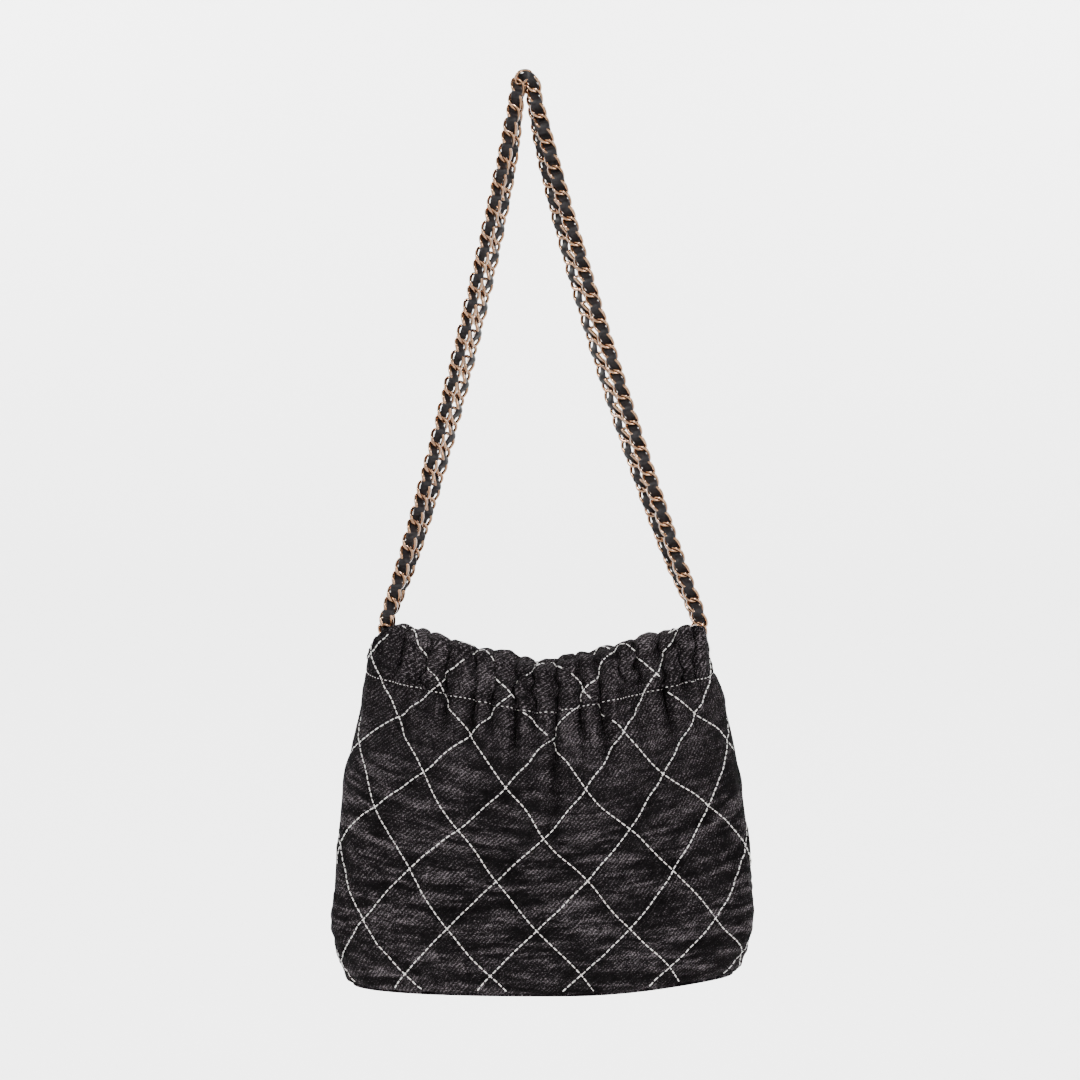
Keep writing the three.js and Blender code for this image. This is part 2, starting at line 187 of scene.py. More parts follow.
def make_plan():
    """Tables of x and y along half the outline, evenly spaced by length, at even heights."""
    heights = np.linspace(0, STATIONS[-1, 0], 226)
    shares = np.linspace(0, 1, 401)
    angle = np.linspace(-math.pi / 2, math.pi / 2, 4001)
    xs, ys = [], []
    for half_width, half_depth, squareness in station(heights):
        power = 2 / squareness
        x = half_width * signed_power(np.sin(angle), power)
        y = -half_depth * np.abs(np.cos(angle)) ** power
        run = running(np.hypot(np.diff(x), np.diff(y)))
        xs.append(np.interp(shares, run / run[-1], x))
        ys.append(np.interp(shares, run / run[-1], y))
    return heights, np.array(xs), np.array(ys)


PLAN_HEIGHTS, PLAN_X, PLAN_Y = make_plan()


def wall(u, z):
    """Point of the smooth front wall: u from -1 at the left seam to 1 at the right, z its height."""
    column = (u + 1) / 2 * (PLAN_X.shape[1] - 1)
    row = np.clip(z, 0, PLAN_HEIGHTS[-1]) / PLAN_HEIGHTS[1]
    c = np.clip(np.floor(column).astype(int), 0, PLAN_X.shape[1] - 2)
    r = np.clip(np.floor(row).astype(int), 0, PLAN_X.shape[0] - 2)
    kc, kr = column - c, row - r
    found = []
    for grid in (PLAN_X, PLAN_Y):
        low = mix(grid[r, c], grid[r, c + 1], kc)
        high = mix(grid[r + 1, c], grid[r + 1, c + 1], kc)
        found.append(mix(low, high, kr))
    return np.stack([found[0], found[1], z + 0 * found[0]], axis=-1)


def wall_axes(u, z):
    """Unit vectors across and out of the wall."""
    du, dz = 0.012, 3.0
    across = wall(np.minimum(u + du, 1), z) - wall(np.maximum(u - du, -1), z)
    up = wall(u, z + dz) - wall(u, z - dz)
    return unit(across), unit(np.cross(across, up))


def past_ear(u):
    """0 up to the ear, rising to 1 at the side seam."""
    return smooth((np.abs(u) - EAR) / (1 - EAR))


def crest(u):
    """Height of the rim: lowest at the middle, highest at the ears."""
    away = np.minimum(np.abs(u), EAR)
    climb = CREST_RISE * (np.hypot(away, CREST_SOFTNESS) - CREST_SOFTNESS)
    return mix(CREST_MIDDLE + climb, SIDE_TOP, past_ear(u))


def seam(u):
    """Height of the casing's stitch line."""
    return mix(SEAM_SHARE * crest(u), crest(u) - SIDE_CASING, past_ear(u))


def waves(s, t, seed, across, along, count=9):
    """A smooth wandering value of about -1 to 1, with waves of about the given lengths."""
    draw = np.random.default_rng(seed)
    total = 0 * s + 0 * t
    for _ in range(count):
        kx = draw.normal() * 2 * math.pi / across
        ky = draw.normal() * 2 * math.pi / along
        total = total + np.sin(kx * s + ky * t + draw.uniform(0, 2 * math.pi))
    return total / math.sqrt(count)


# The panels. The gathers, from left to right: each lobe's width in flat cloth, and the long folds that run
# down from the stitch line as (place across the cloth, depth, half width, reach, drift).
FRONT = {
    "name": "front",
    "back": False,
    "lobes": [18, 22, 15, 24, 12, 18, 14, 17, 17, 14, 17, 14, 21, 15, 13, 18],
    "start": -129,
    "folds": [
        (-103, 3.4, 3.6, 50, 2), (-84, 2.2, 3.2, 34, 0), (-70, 3.6, 3.4, 48, -6),
        (-52, 3.2, 3.4, 40, 0), (-38, 2.0, 2.6, 26, 0), (-20, 4.6, 3.3, 52, 1),
        (9, 4.8, 3.6, 105, -2), (27, 3.6, 3.0, 42, 4), (43, 5.6, 4.4, 56, 6),
        (68, 3.4, 3.2, 44, 2), (92, 5.0, 4.0, 50, 4), (112, 2.6, 3.2, 54, 6),
    ],
    "seed": 11,
}
BACK = {
    "name": "back",
    "back": True,
    "lobes": [17, 14, 20, 16, 22, 13, 16, 18, 12, 19, 15, 23, 14, 16, 21],
    "start": -128,
    "folds": [
        (-104, 3.0, 3.6, 50, 3), (-80, 2.2, 3.0, 32, 0), (-63, 4.8, 4.0, 75, 3),
        (-44, 2.2, 2.8, 30, 0), (-26, 4.2, 3.8, 60, -3), (16, 2.2, 2.8, 28, 0),
        (33, 3.2, 3.4, 45, 2), (66, 5.2, 4.4, 90, -4), (98, 3.4, 3.8, 50, -3),
    ],
    "seed": 23,
}


def drape(s, t):
    """How far the flat place (s, t) moves across and up when the cloth is gathered: its sides are
    drawn up to the ears, and the grain wanders."""
    pull, pulled_at, pull_from = 18.5, 116, 22
    calm_low, calm_below = 0.45, 60
    side_pull = pull * (s / pulled_at) ** 2 * smooth((t - pull_from) / 72)
    wander = mix(calm_low, 1, smooth((t - calm_below) / 80))
    across = 2.1 * waves(s, t, 31, 110, 90, 7) + 0.6 * waves(s, t, 32, 30, 30, 7)
    up = 1.8 * waves(s, t, 33, 100, 100, 7) + 0.5 * waves(s, t, 34, 28, 34, 7)
    return wander * across, side_pull + wander * up


def flat_place(s, t):
    """The flat place that is draped to (s, t)."""
    flat_s, flat_t = s, t
    for _ in range(4):
        across, up = drape(flat_s, flat_t)
        flat_s, flat_t = s - across, t - up
    return flat_s, flat_t


def rim_turn(u):
    """How open the casing is, its turn's radius and the straight rise from stitch line to turn."""
    opened = 1 - smooth((np.abs(u) - CASING_SHUTS) / SHUT_WIDTH)
    radius = mix(RIM_RADIUS, CASING_RADIUS, opened)
    return opened, radius, crest(u) - seam(u) - radius


def casing_section(u, t):
    """Where the cloth is at path length t: its height, its depth and the turn over the rim."""
    at_seam = seam(u)
    over = t - at_seam
    opened, radius, straight = rim_turn(u)
    turn = np.clip((over - straight) / radius, 0, math.pi)
    past = np.maximum(over - straight - math.pi * radius, 0)
    height = np.where(over < straight, t, at_seam + straight + radius * np.sin(turn) - past)
    depth = radius * (1 - np.cos(turn))
    above = height - at_seam
    pinch, sewn_gap, reach_up, reach_down = 2.4, 4.5, 5.0, 9.0
    outer_pinch = pinch * bell(above / np.where(above > 0, reach_up, reach_down)) * opened
    inner_pinch = -np.maximum(2 * radius - sewn_gap, 0) * smooth(1 - above / reach_down)
    depth = depth + np.where(past > 0, inner_pinch, outer_pinch * (turn <= 0))
    return height, depth, turn, over


def gather_relief(s, over, turn, panel, calm):
    """The lobes of the gathers: how far they stand out and lie over to the side."""
    seed = panel["seed"]
    edges = panel["start"] + running(panel["lobes"])
    in_tube = smooth((over + 6) / 10)
    tilted = s + in_tube * 2.4 * waves(s, over, seed + 3, 50, 34)
    phase = 2 * math.pi * (np.interp(tilted, edges, np.arange(len(edges))) - 0.5)
    width = np.interp(tilted, (edges[1:] + edges[:-1]) / 2, panel["lobes"])
    inside = smooth((s - edges[0]) / 14) * smooth((edges[-1] - s) / 14)
    in_casing = LOBE_DEPTH + 1.2 * smooth(over / 9) - 2.3 * np.sin(turn) ** 2
    strength = np.where(over < 0, LOBE_DEPTH * np.exp(np.minimum(over, 0) / LOBE_REACH), in_casing)
    uneven = np.clip(1 + 0.3 * waves(s, over, seed + 4, 26, 40), 0.3, 1.7)
    strength = strength * inside * (width / USUAL_LOBE) ** 0.8 * calm * uneven
    proud = strength * (2 * (np.cos(phase / 2) ** 2 + 0.015) ** 0.42 - 1.05)
    crumple = waves(s, over, seed + 5, 8, 30) + waves(s, over, seed + 6, 12, 10)
    proud = proud + 0.18 * crumple * in_tube * calm * (1 - 0.5 * np.sin(turn))
    return proud, 0.5 * strength * np.sin(phase)


def fold_relief(s, over, panel, calm):
    """The long folds below the stitch line, each a groove between two ridges."""
    below = np.maximum(-over, 0)
    deepest, fade = 0.22, 0.4  # where along its reach a fold is deepest, and how fast it fades
    ridge_at, ridge_width, ridge_height, lean = 1.75, 0.9, 0.42, 0.55
    proud, aside = 0 * s, 0 * s
    for place, depth, half_width, reach, drift in panel["folds"]:
        share = below / reach
        in_casing = bell(over / 7) * bell(deepest / fade)
        grown = calm * depth * np.where(over > 0, in_casing, bell((share - deepest) / fade))
        off = (s - place - drift * share) / (half_width * (1 + 0.5 * share))
        ridges = bell((off - ridge_at) / ridge_width) + bell((off + ridge_at) / ridge_width)
        proud = proud + grown * (ridge_height * ridges - bell(off))
        aside = aside - lean * grown * off * bell(off)
    return proud, aside


def quilt_relief(s, t, over):
    """Puffs between the quilting lines, grooves along them and the puckers of the stitches."""
    flat_s, flat_t = flat_place(s, t)
    across = flat_s - QUILT_SKEW * (flat_t - QUILT_LEVEL)
    rise = flat_t - QUILT_START
    shoulder, groove_width, pucker_width = 9, 1.3, 5
    puff, groove, pucker = 1, 0, 0
    for direction in (1, -1):
        value = (across + direction * rise) / QUILT
        line = np.abs(value - np.round(value)) * QUILT / math.sqrt(2)
        ruffle = np.sin(2 * math.pi * (s - direction * t) / PUCKER_PITCH)
        puff = puff * (1 - bell(line / shoulder))
        groove = groove + bell(line / groove_width)
        pucker = pucker + ruffle * bell(line / pucker_width)
    flatter = mix(1.0, 0.5, smooth((over + 20) / 20))
    return flatter * (QUILT_PUFF * puff - QUILT_GROOVE * groove) + QUILT_PUCKER * pucker


def hang_relief(s, t, seed):
    """The slow waves of a soft bag that hangs, level ones low down."""
    large = 1.1 * waves(s, t, seed, 90, 80) * smooth(t / 25)
    level = 0.35 * smooth((120 - t) / 60) * waves(s, t, seed + 1, 70, 15)
    return large + level + 0.22 * waves(s, t, seed + 2, 14, 14)


def cloth(s, t, panel, sink=0.0, calm=1.0):
    """Points of a panel's cloth at flat place s and path length t, sunk below its outer face.
    calm scales the gathers. Also gives how proud of its surroundings the cloth stands."""
    u = np.clip(s / HALF_CLOTH, -1, 1)
    height, depth, turn, over = casing_section(u, t)
    across, out = wall_axes(u, height)
    lobes, lobes_aside = gather_relief(s, over, turn, panel, calm)
    folds, folds_aside = fold_relief(s, over, panel, calm)
    proud = lobes + folds + quilt_relief(s, t, over) + hang_relief(s, t, panel["seed"])

    side = (1 - np.abs(u)) * HALF_CLOTH
    side_groove, seam_groove = 1.2 * bell(side / 4), 1.0 * bell(over / 1.1) * (turn <= 0)
    proud = (proud - side_groove) * smooth(side / 5 + 0.15) - seam_groove
    hem = np.maximum(HEM_CURVE - t, 0) / HEM_CURVE
    depth = depth + HEM_TUCK * (1 - np.sqrt(1 - hem * hem))
    direction = out * np.cos(turn)[..., None] + UP * np.sin(turn)[..., None]
    point = wall(u, height) - out * depth[..., None]
    point = point + direction * (proud - sink)[..., None]
    point = point + across * (lobes_aside + folds_aside)[..., None]
    point[..., 1] = np.minimum(point[..., 1], -0.25 - sink * (side < 40))
    return point, proud


def corner_lift(x):
    """The base's right corner hangs a little higher."""
    lift, begins, run = 7, 5, 122
    return lift * smooth((x - begins) / run) ** 1.4


def settled(points, panel):
    """Turns a back panel's points half round, then shapes the bag's uneven right side."""
    points = points * (HALF_TURN if panel["back"] else 1.0)
    x, z = points[..., 0], points[..., 2]
    nip, nip_height, nip_spread, lifted_below = 0.055, 201, 17, 75  # drawn in under the right ear
    points[..., 0] = x * (1 - nip * smooth(x / 60) * bell((z - nip_height) / nip_spread))
    points[..., 2] = z + corner_lift(x) * (1 - smooth(z / lifted_below))
    return points


# ---- Meshes ----
def make_mesh(name, points, faces, material, smooth_shading=True):
    """A mesh object from points in the bag's frame, in millimetres, and a face array."""
    data = bpy.data.meshes.new(name)
    points = np.asarray(points, dtype=float).reshape(-1, 3) * MM + ORIGIN
    faces = np.asarray(faces, dtype=np.int32)
    sides = faces.shape[1]
    data.vertices.add(len(points))
    data.vertices.foreach_set("co", points.astype(np.float32).ravel())
    data.loops.add(faces.size)
    data.loops.foreach_set("vertex_index", faces.ravel())
    data.polygons.add(len(faces))
    data.polygons.foreach_set("loop_start", np.arange(0, faces.size, sides, dtype=np.int32))
    data.polygons.foreach_set("use_smooth", np.full(len(faces), smooth_shading))
    data.update(calc_edges=True)
    data.validate()
    return add_object(name, data, material)


def mixed_mesh(name, points, faces, material):
    """A smooth mesh object from points in metres and faces of any number of sides."""
    data = bpy.data.meshes.new(name)
    data.from_pydata(points, [], faces)
    data.shade_smooth()
    return add_object(name, data, material)


def grid_faces(rows, columns, closed_rows=False, closed_columns=False):
    r = np.arange(rows - 1 + closed_rows)[:, None]
    c = np.arange(columns - 1 + closed_columns)
    r1, c1 = (r + 1) % rows, (c + 1) % columns
    corners = [a * columns + b for a, b in ((r, c), (r, c1), (r1, c1), (r1, c))]
    return np.stack(corners, -1).reshape(-1, 4)


def repeated_faces(faces, copies, points_each):
    """The faces of several copies of a shape whose points follow one another."""
    shifts = np.arange(copies) * points_each
    return (faces[None] + shifts[:, None, None]).reshape(-1, faces.shape[1])


def close_rings(made, sides, firsts, smooth_shading=False):
    """Closes a tube or a ringed sheet with a face on each ring of points that starts in firsts."""
    work = bmesh.new()
    work.from_mesh(made.data)
    work.verts.ensure_lookup_table()
    for first in firsts:
        face = work.faces.new([work.verts[first + i] for i in range(sides)])
        face.smooth = smooth_shading
    bmesh.ops.recalc_face_normals(work, faces=work.faces)
    work.to_mesh(made.data)
    work.free()


def add_uv(made, uv):
    """Stores each vertex's place on the flat cloth, in metres, as the UV map."""
    layer = made.data.uv_layers.new(name="cloth")
    index = np.empty(len(made.data.loops), dtype=np.int32)
    made.data.loops.foreach_get("vertex_index", index)
    layer.data.foreach_set("uv", (np.asarray(uv).reshape(-1, 2)[index] * MM).ravel())


def add_value(made, name, values):
    layer = made.data.attributes.new(name, "FLOAT", "POINT")
    layer.data.foreach_set("value", np.asarray(values, dtype=np.float32).ravel())


def thicken(made, thickness):
    """Gives a sheet its thickness, on the inner side of its faces."""
    solidify = made.modifiers.new("thickness", "SOLIDIFY")
    solidify.thickness = thickness * MM
    solidify.offset = -1
    solidify.use_even_offset = False


def round_edges(made, width, segments):
    bevel = made.modifiers.new("edges", "BEVEL")
    bevel.width = width * MM
    bevel.segments = segments


def make_layer(name, points, faces, material, thickness, slot, *nodes):
    """A sheet on the bag's body, its thickness on the inner side of its faces."""
    layer = make_mesh(name, points, faces, material)
    thicken(layer, thickness)
    declare(layer, "bag", slot, *nodes)
    return layer


def declare(made, body, slot, *nodes):
    """Puts a piece on the body it rides on and hides the CAD nodes that it stands for. The material slot argument
    is not used.
    """
    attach(made, body)
    if nodes:
        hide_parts(*nodes)


# ---- Materials ----
class Nodes:
    """A short way to write a node tree."""

    def __init__(self, name):
        self.material = bpy.data.materials.new(name)
        self.material.use_nodes = True
        self.tree = self.material.node_tree
        self.shader = self.tree.nodes["Principled BSDF"]

    def add(self, kind, inputs=None, **settings):
        node = self.tree.nodes.new(kind)
        for key, value in settings.items():
            setattr(node, key, value)
        for key, value in (inputs or {}).items():
            self.put(node.inputs[key], value)
        return node

    def put(self, socket, value):
        if isinstance(value, bpy.types.NodeSocket):
            self.tree.links.new(value, socket)
        else:
            socket.default_value = value

    def math(self, operation, a, b, clamp=False):
        node = self.add("ShaderNodeMath", operation=operation, use_clamp=clamp)
        self.put(node.inputs[0], a)
        self.put(node.inputs[1], b)
        return node.outputs[0]

    def plus(self, a, b, clamp=False):
        return self.math("ADD", a, b, clamp)

    def less(self, a, b):
        return self.math("SUBTRACT", a, b)

    def times(self, a, b, clamp=False):
        return self.math("MULTIPLY", a, b, clamp)

    def about_middle(self, value, amount):
        """A texture's swing to each side of its middle value."""
        return self.times(self.less(value, 0.5), amount)

    def share(self, a, b, share_of_b):
        return self.plus(self.times(a, 1 - share_of_b), self.times(b, share_of_b))

    def spread(self, value, low, high, to_low, to_high, curve="LINEAR"):
        inputs = {"Value": value, "From Min": low, "From Max": high}
        inputs.update({"To Min": to_low, "To Max": to_high})
        return self.add("ShaderNodeMapRange", inputs, interpolation_type=curve).outputs[0]

    def place(self):
        return self.add("ShaderNodeTexCoord").outputs["Object"]

    def noise(self, vector, scale, detail=2.0, roughness=0.5, distortion=0.0):
        inputs = {"Vector": vector, "Scale": scale, "Detail": detail}
        inputs.update({"Roughness": roughness, "Distortion": distortion})
        return self.add("ShaderNodeTexNoise", inputs).outputs[0]

    def mapped(self, vector, scale, turn=0.0):
        inputs = {"Vector": vector, "Scale": scale, "Rotation": (0, 0, turn)}
        return self.add("ShaderNodeMapping", inputs).outputs[0]

    def ramp(self, value, stops):
        node = self.add("ShaderNodeValToRGB", {"Fac": value})
        elements = node.color_ramp.elements
        while len(elements) < len(stops):
            elements.new(0.5)
        for element, (place, colour) in zip(elements, stops):
            element.position = place
            element.color = (*colour, 1) if len(colour) == 3 else colour
        return node.outputs["Color"]

    def tone(self, value, low, high):
        return self.ramp(value, [(0.3, low), (0.7, high)])

    def blend(self, factor, a, b):
        node = self.add("ShaderNodeMix", data_type="RGBA")
        self.put(node.inputs["Factor"], factor)
        self.put(node.inputs["A"], a)
        self.put(node.inputs["B"], b)
        return node.outputs["Result"]

    def bump(self, height, strength, distance):
        inputs = {"Height": height, "Strength": strength, "Distance": distance}
        return self.add("ShaderNodeBump", inputs).outputs[0]

    def set(self, **values):
        names = {"colour": "Base Color", "coat": "Coat Weight", "sheen": "Sheen Weight"}
        names["specular"] = "Specular IOR Level"
        for key, value in values.items():
            self.put(self.shader.inputs[names.get(key, key.capitalize())], value)
        return self.material


def grey(value, warm=1.04):
    """A near-neutral grey with a trace of plum, as the faded black dye has."""
    return (value * warm, value * 0.92, value * 0.98, 1)


def denim_material(name):
    n = Nodes(name)
    flat = n.add("ShaderNodeTexCoord").outputs["UV"]

    def woven(scale, detail, roughness):
        """Noise drawn out along the twill, which climbs to the right."""
        return n.noise(n.mapped(flat, scale, math.radians(-45)), 1.0, detail, roughness)

    def washed(across, up, detail, roughness, distortion=0.0):
        return n.noise(n.mapped(flat, (across, up, 1)), 1.0, detail, roughness, distortion)

    # twill: fine ridges, broken up along their length
    ridges = n.add("ShaderNodeTexWave", {
        "Vector": n.mapped(flat, (1000, 1000, 1000), math.radians(-45)),
        "Scale": 0.16, "Distortion": 1.2, "Detail": 2.0, "Detail Scale": 1.5,
    }, bands_direction="Y").outputs["Fac"]
    slub = woven((1500, 2700, 1000), 3.0, 0.6)
    fleck = woven((950, 1700, 1000), 2.0, 0.55)
    speck = n.noise(flat, 2300.0, 1.0)
    # the wash: even above, in wavy level streaks below
    patches = n.noise(flat, 30.0, 4.0, 0.6)
    warp = washed(430, 60, 3.0, 0.6)
    mottle = washed(170, 300, 4.0, 0.65)
    streaks = washed(24, 145, 4.0, 0.58, 0.35)
    fine_streaks = washed(80, 420, 3.0, 0.6, 0.2)
    height = n.add("ShaderNodeSeparateXYZ", {"Vector": flat}).outputs["Y"]
    lower = n.spread(height, 0.08, 0.165, 1.0, 0.25, "SMOOTHSTEP")
    banded = n.share(streaks, fine_streaks, 0.3)
    banded = n.spread(banded, 0.40, 0.62, 0.20, 0.68, "SMOOTHSTEP")
    even = n.plus(n.spread(patches, 0.3, 0.7, 0.32, 0.58), n.about_middle(warp, 0.8))
    worn = n.add("ShaderNodeAttribute", attribute_name="proud").outputs["Fac"]
    wash = n.plus(n.blend(lower, even, banded), n.times(worn, 0.035))
    wash = n.plus(wash, n.about_middle(mottle, 0.75))
    # pale weft shows as flecks between the dark warp threads
    thread = n.plus(n.share(fleck, slub, 0.4), n.about_middle(ridges, 0.07))
    threshold = n.less(0.63, n.times(wash, 0.19))
    pale = n.times(n.less(thread, threshold), 10.0, clamp=True)
    ground = n.ramp(n.share(wash, speck, 0.3), [
        (0.1, grey(0.0015)), (0.55, grey(0.0050)), (0.95, grey(0.0180)),
    ])
    strength = n.plus(0.25, n.times(wash, 0.75), clamp=True)
    flecked = n.blend(n.times(pale, strength), ground, grey(0.135, 1.06))
    relief = n.plus(n.times(ridges, 0.5), n.times(thread, 0.9))
    normal = n.bump(relief, 0.5, 0.0005)
    return n.set(colour=flecked, roughness=1.0, normal=normal, specular=0.02)


def thread_material():
    n = Nodes("thread")
    tone = n.noise(n.place(), 900.0)
    colour = n.tone(tone, (0.47, 0.45, 0.43), (0.72, 0.70, 0.68))
    return n.set(colour=colour, roughness=0.7, normal=n.bump(tone, 0.4, 0.0003), sheen=0.2)


def gold_material():
    n = Nodes("gold")
    place = n.place()
    tone = n.noise(place, 120.0, 3.0)
    colour = n.tone(tone, (0.20, 0.095, 0.041), (0.32, 0.175, 0.090))
    scuff = n.noise(n.mapped(place, (1, 1, 3)), 1500.0, 3.0, 0.6)
    roughness = n.spread(scuff, 0.3, 0.75, 0.06, 0.17)
    normal = n.bump(scuff, 0.06, 0.0002)
    return n.set(colour=colour, metallic=1.0, roughness=roughness, normal=normal, coat=1.0)


def leather_material():
    n = Nodes("leather")
    place = n.place()
    grain = n.add("ShaderNodeTexVoronoi", {"Vector": place, "Scale": 1900.0}).outputs["Distance"]
    creases = n.noise(place, 380.0, 4.0, 0.6)
    colour = n.tone(creases, grey(0.0048, 1.12), grey(0.0120, 1.12))
    roughness = n.spread(creases, 0.3, 0.7, 0.37, 0.55)
    normal = n.bump(n.plus(n.times(grain, 0.6), creases), 0.3, 0.0003)
    return n.set(colour=colour, roughness=roughness, normal=normal, specular=0.16)


def lining_material():
    n = Nodes("lining")
    place = n.place()
    threads = []
    for direction in "ZX":
        wave = n.add("ShaderNodeTexWave", {"Vector": place, "Scale": 900.0, "Distortion": 0.6},
                     bands_direction=direction)
        threads.append(wave.outputs["Fac"])
    colour = n.tone(n.noise(place, 60.0, 3.0), grey(0.004), grey(0.009))
    normal = n.bump(n.plus(*threads), 0.25, 0.0002)
    return n.set(colour=colour, roughness=0.55, normal=normal, sheen=0.08)


def plain_material(name, low, high, scale, roughness, metallic=0.0):
    n = Nodes(name)
    tone = n.noise(n.place(), scale, 4.0, 0.6)
    colour = n.tone(tone, low, high)
    normal = n.bump(tone, 0.3, 0.0004)
    return n.set(colour=colour, roughness=roughness, metallic=metallic, normal=normal)


DENIM = denim_material("denim")
DENIM_BASE = denim_material("denim_base")
THREAD = thread_material()
GOLD = gold_material()
LEATHER = leather_material()
LINING = lining_material()
WADDING = plain_material("wadding", (0.55, 0.54, 0.5), (0.82, 0.81, 0.78), 300.0, 0.95)
BOARD = plain_material("board", (0.03, 0.03, 0.032), (0.06, 0.06, 0.062), 200.0, 0.6)
STEEL = plain_material("steel", (0.5, 0.5, 0.5), (0.65, 0.65, 0.65), 500.0, 0.3, 1.0)


# ---- The panels ----
FACING_END = 0.69  # where across a panel the casing's inner wall stops and its chain comes out
LINING_DEPTH = 5.6  # from the bag's smooth wall in to the lining
LINING_THICKNESS = 0.6
WADDING_THICKNESS = 1.8
SNAP_HEIGHT = 147.5


def path_end(u):
    """Path length at the cloth's inner edge: the stitch line again, or a narrow hem at the ears."""
    _, radius, straight = rim_turn(u)
    over_the_rim = straight + math.pi * radius
    return seam(u) + over_the_rim + np.where(np.abs(u) < FACING_END, straight, HEM)


def make_panel(panel):
    name = panel["name"]
    columns, low_rows, casing_rows = 251, 104, 56
    s = np.linspace(-HALF_CLOTH, HALF_CLOTH, columns)
    u = s / HALF_CLOTH
    lower = np.linspace(0, 1, low_rows)[:, None] * seam(u)
    upper = seam(u) + np.linspace(0, 1, casing_rows + 1)[1:, None] * (path_end(u) - seam(u))
    t = np.concatenate([lower, upper])
    s = np.broadcast_to(s, t.shape)
    points, proud = cloth(s, t, panel)
    made = make_layer(f"{name}_cloth", settled(points, panel), grid_faces(*t.shape), DENIM,
                      CLOTH_THICKNESS, "denim", f"{name}_panel", f"{name}_casing_facing")
    add_uv(made, np.stack(flat_place(s, t), -1))
    add_value(made, "proud", proud)


def places_below_seam(half_width, columns, low, high, rows):
    """Flat places in a grid, from low to high as shares of the stitch line's height."""
    s = np.linspace(-half_width, half_width, columns)
    t = np.linspace(low, high, rows)[:, None] * seam(s / HALF_CLOTH)
    return np.broadcast_to(s, t.shape), t


def lining_freedom(s, t, panel):
    """How freely the lining ripples: not at all under a snap's patch or behind the pocket."""
    patch_reach, pocket_half, pocket_middle, pocket_reach, fade = 17, 78, 74, 50, 12
    free = smooth((np.hypot(s, t - SNAP_HEIGHT) - patch_reach) / fade)
    if panel["back"]:
        aside = smooth((np.abs(s) - pocket_half) / fade)
        past = smooth((np.abs(t - pocket_middle) - pocket_reach) / 10)
        free = free * np.maximum(aside, past)
    return free


def lining_points(s, t, panel):
    u = s / HALF_CLOTH
    outer, _ = cloth(s, t, panel, sink=LINING_DEPTH, calm=0.75)
    _, out = wall_axes(u, t)
    creases = 0.9 * waves(s, t, panel["seed"] + 7, 26, 90) * smooth((t - 40) / 90)
    plain = wall(u, t) - out * LINING_DEPTH
    free = lining_freedom(s, t, panel)[..., None]
    points = mix(plain, outer + out * creases[..., None], free)
    points[..., 1] = np.minimum(points[..., 1], -0.3)
    return points


def make_wadding(panel):
    """The layer between cloth and lining, cut away where a deep fold leaves it no room."""
    s, t = places_below_seam(0.94 * HALF_CLOTH, 90, 0.05, 0.97, 60)
    sink = CLOTH_THICKNESS + 0.5
    points, _ = cloth(s, t, panel, sink=sink)
    inner, _ = cloth(s, t, panel, sink=sink + WADDING_THICKNESS)
    _, out = wall_axes(s / HALF_CLOTH, t)
    room = np.sum((inner - lining_points(s, t, panel)) * out, axis=-1).ravel()
    faces = grid_faces(*t.shape)
    faces = faces[room[faces].min(axis=1) > 0]
    used = np.unique(faces)
    points = settled(points, panel).reshape(-1, 3)[used]
    faces = np.searchsorted(used, faces)
    name = f"{panel['name']}_wadding"
    make_layer(f"{name}_layer", points, faces, WADDING, WADDING_THICKNESS, "wadding", name)


def make_lining(panel):
    s, t = places_below_seam(HALF_CLOTH, 150, 0.035, 0.995, 90)
    points = settled(lining_points(s, t, panel), panel)
    name, faces = f"{panel['name']}_lining", grid_faces(*t.shape)
    lining = make_layer(f"{name}_cloth", points, faces, LINING, LINING_THICKNESS, "lining", name)


def make_base_sheet(name, node, height, inset, material, slot, thickness):
    """An oval sheet on the base, with a slight quilt-like softness."""
    rings, around = 40, 160
    angle = full_circle(around)
    radius = np.linspace(0.02, 1, rings)[:, None]
    half_width, half_depth, squareness = station(np.array([0.0]))[0]
    half_width, half_depth = half_width - inset, half_depth - inset
    power = 2 / squareness
    x = signed_power(np.cos(angle), power) * half_width * radius
    y = signed_power(np.sin(angle), power) * half_depth * radius
    ripple = 0.35 * (1 + waves(x, y, 5, 60, 60)) * (1 - radius**6)
    points = np.stack([x, y, height + ripple + corner_lift(x)], -1).reshape(-1, 3)
    faces = grid_faces(rings, around, closed_columns=True)[:, ::-1]
    sheet = make_layer(name, points, faces, material, -thickness, slot, node)
    close_rings(sheet, around, [0])
    add_uv(sheet, points[:, :2] + np.array([0, 60]))


# ---- Stitches ----
def stitch_shape(sides=7, rings=5):
    """A plump dash along X, from -0.5 to 0.5, with width and height 1."""
    along = np.cos(np.linspace(math.pi, 0, rings + 2))[1:-1] * 0.5
    swell = (1 - (2 * along) ** 4) ** 0.5
    angle = full_circle(sides)
    points = [[-0.5, 0, 0]]
    for a, k in zip(along, swell):
        points += [[a, 0.5 * k * math.cos(r), 0.5 * k * math.sin(r)] for r in angle]
    points.append([0.5, 0, 0])
    faces = []
    last = 1 + (rings - 1) * sides
    for i in range(sides):
        j = (i + 1) % sides
        faces.append([0, 1 + j, 1 + i])
        for ring in range(rings - 1):
            a = 1 + ring * sides
            faces.append([a + i, a + j, a + sides + j, a + sides + i])
        faces.append([last + i, last + j, len(points) - 1])
    return np.array(points), faces


def along_axes(shape, x_axis, y_axis, z_axis):
    """Copies of a shape's points, each laid along its own three axes."""
    return (x_axis[:, None] * shape[None, :, 0, None] + y_axis[:, None] * shape[None, :, 1, None]
            + z_axis[:, None] * shape[None, :, 2, None])


